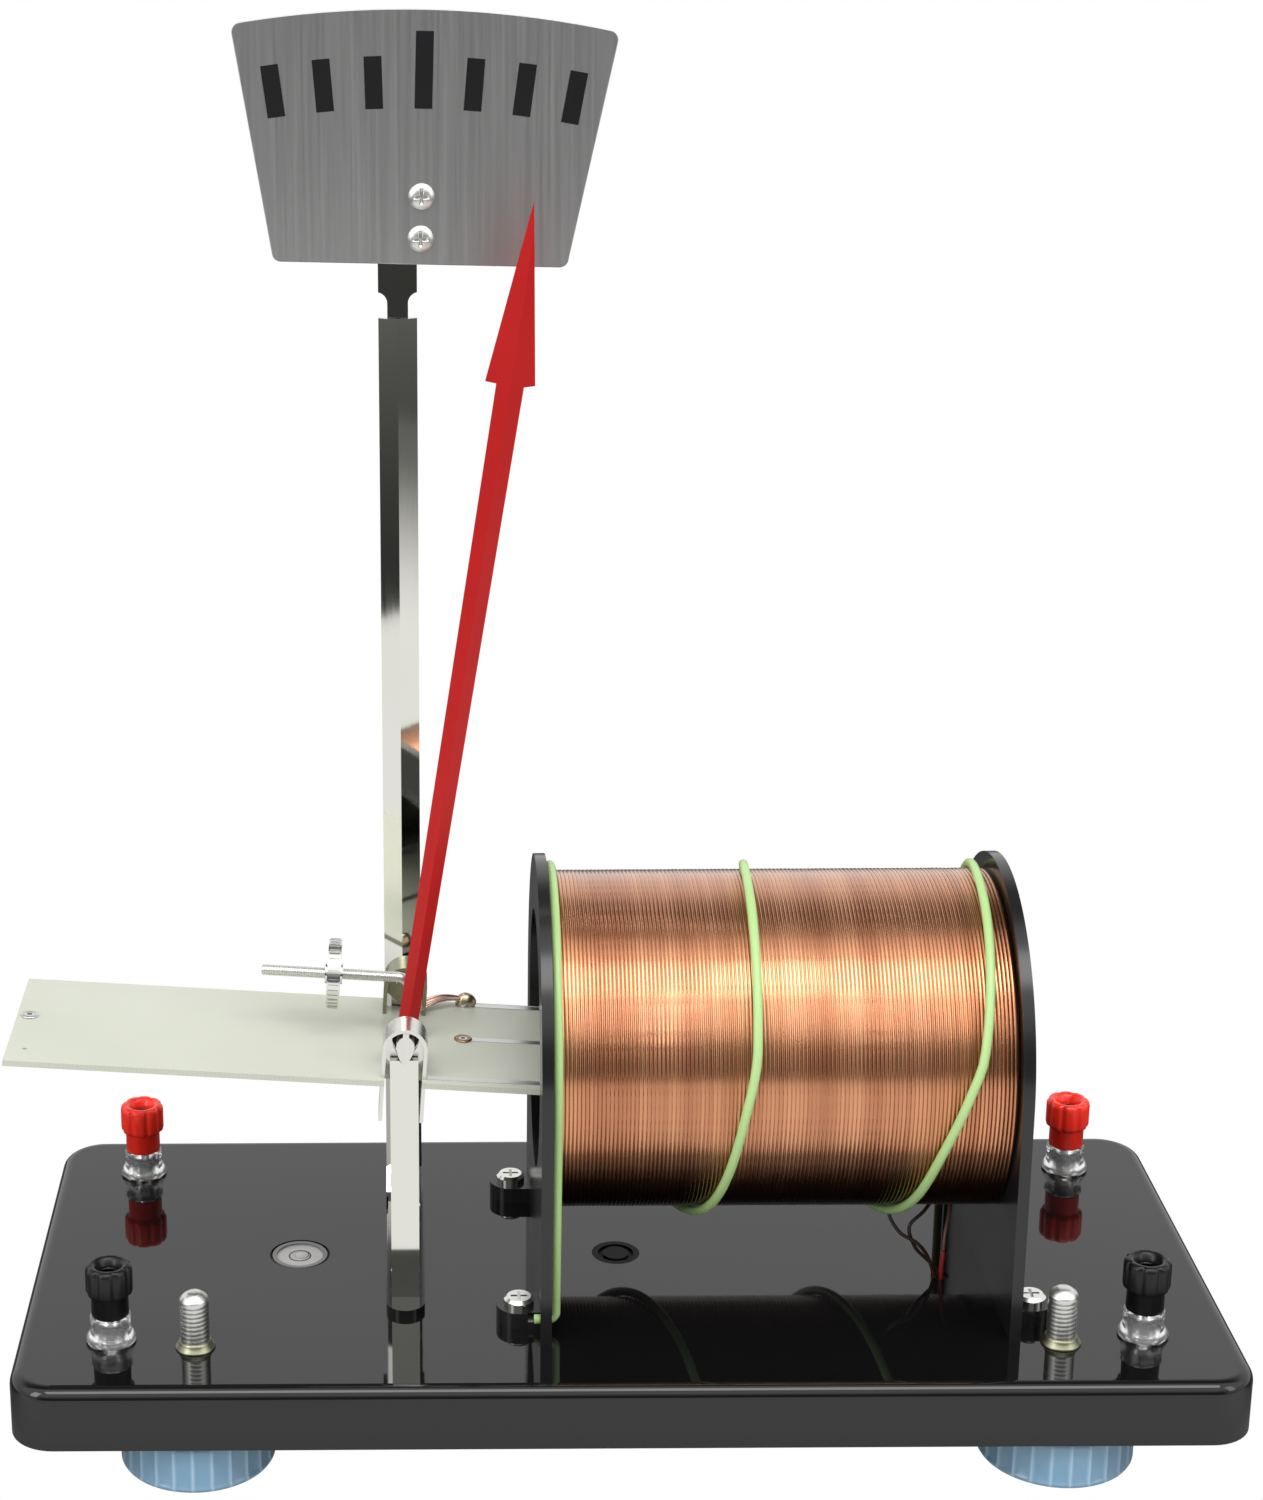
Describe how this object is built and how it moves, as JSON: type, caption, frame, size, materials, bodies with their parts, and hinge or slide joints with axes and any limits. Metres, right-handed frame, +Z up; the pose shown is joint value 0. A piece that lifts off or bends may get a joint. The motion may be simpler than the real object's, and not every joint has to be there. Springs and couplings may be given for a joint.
{
  "type": "current balance",
  "caption": "Current balance: a knife-edge beam carries a conductor into a solenoid, with a pointer, scale, balance nut, terminals and levelling feet",
  "frame": {"origin": "on the table under the middle of the bounding box", "axes": "+Z up, +X from the beam's free end to the solenoid, +Y from the front, where the levelling knobs are, to the back"},
  "size_m": [0.325, 0.145, 0.368],
  "materials": {
    "base_plastic": "moulded, high gloss, black",
    "dark_plastic": "moulded, satin, black",
    "rubber": "moulded, matt, black",
    "knob_plastic": "moulded, ribbed, pale blue",
    "plated_steel": "bright zinc or nickel plate",
    "support_plate": "nickel plated, satin",
    "clear_plastic": "clear, moulded",
    "level_liquid": "clear disc over pale liquid",
    "brass": "turned brass",
    "tinned": "tinned",
    "black_cap": "moulded, ribbed, black",
    "red_cap": "moulded, ribbed, red",
    "copper": "enamelled copper wire",
    "green_cover": "plastic covered wire, pale green",
    "lead_cover": "plastic covered wire, grey",
    "insulation": "hard plastic or ebonite strip, black",
    "scale_metal": "brushed aluminium",
    "mark_ink": "printed, black",
    "board_epoxy": "glass epoxy, pale green, faintly translucent",
    "pointer_paint": "red gloss paint on folded sheet"
  },
  "bodies": {
    "stand": {"base_shell": "base_plastic", "level_case": "plated_steel", "level_glass": "level_liquid", "blanking_plug": "dark_plastic", "levelling_bushes": "plated_steel", "rear_foot": "rubber", "rear_foot_screw": "plated_steel", "terminal_collars": "clear_plastic", "terminal_stems": "brass", "terminal_nuts": "brass", "terminal_tags": "tinned", "left_cheek": "dark_plastic", "right_cheek": "dark_plastic", "coil_former": "dark_plastic", "inner_winding": "copper", "outer_winding": "copper", "green_wire": "green_cover", "cheek_screws": "plated_steel", "cheek_nuts": "plated_steel", "coil_leads": "copper", "front_support": "support_plate", "rear_support": "support_plate", "insulating_bar": "insulation", "scale_post": "support_plate", "support_screws": "plated_steel", "support_nuts": "plated_steel", "support_tags": "tinned", "scale_plate": "scale_metal", "scale_marks": "mark_ink", "scale_screws": "plated_steel", "scale_nuts": "plated_steel", "internal_leads": "lead_cover"},
    "beam": {"beam_board": "board_epoxy", "beam_tracks": "tinned", "eyelets": "brass", "front_arch": "support_plate", "front_knife_edge": "support_plate", "rear_arch": "support_plate", "rear_knife_edge": "support_plate", "pointer": "pointer_paint", "balance_rod": "plated_steel", "link_wire": "copper", "solder_joints": "tinned"},
    "balance_nut_bush": {"nut_bush": "brass"},
    "balance_nut": {"nut_disc": "plated_steel"},
    "left_levelling_stud": {"left_stud": "plated_steel"},
    "left_levelling_knob": {"left_knob": "knob_plastic"},
    "right_levelling_stud": {"right_stud": "plated_steel"},
    "right_levelling_knob": {"right_knob": "knob_plastic"},
    "black_left_terminal_insert": {"insert_black_left": "brass"},
    "black_left_terminal_cap": {"cap_black_left": "black_cap"},
    "red_left_terminal_insert": {"insert_red_left": "brass"},
    "red_left_terminal_cap": {"cap_red_left": "red_cap"},
    "black_right_terminal_insert": {"insert_black_right": "brass"},
    "black_right_terminal_cap": {"cap_black_right": "black_cap"},
    "red_right_terminal_insert": {"insert_red_right": "brass"},
    "red_right_terminal_cap": {"cap_red_right": "red_cap"}
  },
  "joints": [
    {"name": "beam_swing", "type": "hinge", "parent": "stand", "child": "beam", "pos_m": [-0.0569, 0, 0.1], "axis": [0, -1, 0], "range_deg": [0, 7.4]},
    {"name": "balance_nut_travel", "type": "slide", "parent": "beam", "child": "balance_nut_bush", "axis": [0.9979, 0, -0.0651], "range_m": [-0.015, 0.007]},
    {"name": "balance_nut_turn", "type": "hinge", "parent": "balance_nut_bush", "child": "balance_nut", "pos_m": [-0.07596, 0.0024, 0.11497], "axis": [0.9979, 0, -0.0651], "range_deg": [-10804, 5044]},
    {"name": "left_foot_travel", "type": "slide", "parent": "stand", "child": "left_levelling_stud", "axis": [0, 0, 1], "range_m": [-0.0075, 0.00125]},
    {"name": "left_foot_turn", "type": "hinge", "parent": "left_levelling_stud", "child": "left_levelling_knob", "pos_m": [-0.112, -0.05, 0.006], "axis": [0, 0, 1], "range_deg": [-2162, 362]},
    {"name": "right_foot_travel", "type": "slide", "parent": "stand", "child": "right_levelling_stud", "axis": [0, 0, 1], "range_m": [-0.0075, 0.00125]},
    {"name": "right_foot_turn", "type": "hinge", "parent": "right_levelling_stud", "child": "right_levelling_knob", "pos_m": [0.115, -0.05, 0.006], "axis": [0, 0, 1], "range_deg": [-2162, 362]},
    {"name": "black_left_cap_travel", "type": "slide", "parent": "stand", "child": "black_left_terminal_insert", "axis": [0, 0, 1], "range_m": [0, 0.004]},
    {"name": "black_left_cap_turn", "type": "hinge", "parent": "black_left_terminal_insert", "child": "black_left_terminal_cap", "pos_m": [-0.1345, -0.046, 0.0465], "axis": [0, 0, 1], "range_deg": [-2, 1442]},
    {"name": "red_left_cap_travel", "type": "slide", "parent": "stand", "child": "red_left_terminal_insert", "axis": [0, 0, 1], "range_m": [0, 0.004]},
    {"name": "red_left_cap_turn", "type": "hinge", "parent": "red_left_terminal_insert", "child": "red_left_terminal_cap", "pos_m": [-0.1345, 0.051, 0.0465], "axis": [0, 0, 1], "range_deg": [-2, 1442]},
    {"name": "black_right_cap_travel", "type": "slide", "parent": "stand", "child": "black_right_terminal_insert", "axis": [0, 0, 1], "range_m": [0, 0.004]},
    {"name": "black_right_cap_turn", "type": "hinge", "parent": "black_right_terminal_insert", "child": "black_right_terminal_cap", "pos_m": [0.1375, -0.046, 0.0465], "axis": [0, 0, 1], "range_deg": [-2, 1442]},
    {"name": "red_right_cap_travel", "type": "slide", "parent": "stand", "child": "red_right_terminal_insert", "axis": [0, 0, 1], "range_m": [0, 0.004]},
    {"name": "red_right_cap_turn", "type": "hinge", "parent": "red_right_terminal_insert", "child": "red_right_terminal_cap", "pos_m": [0.1375, 0.051, 0.0465], "axis": [0, 0, 1], "range_deg": [-2, 1442]}
  ],
  "couplings": [
    {"joint": "balance_nut_turn", "follows": "balance_nut_travel", "rad_per_m": 12566},
    {"joint": "left_foot_turn", "follows": "left_foot_travel", "rad_per_m": 5026.5},
    {"joint": "right_foot_turn", "follows": "right_foot_travel", "rad_per_m": 5026.5},
    {"joint": "black_left_cap_turn", "follows": "black_left_cap_travel", "rad_per_m": 6283.2},
    {"joint": "red_left_cap_turn", "follows": "red_left_cap_travel", "rad_per_m": 6283.2},
    {"joint": "black_right_cap_turn", "follows": "black_right_cap_travel", "rad_per_m": 6283.2},
    {"joint": "red_right_cap_turn", "follows": "red_right_cap_travel", "rad_per_m": 6283.2}
  ]
}
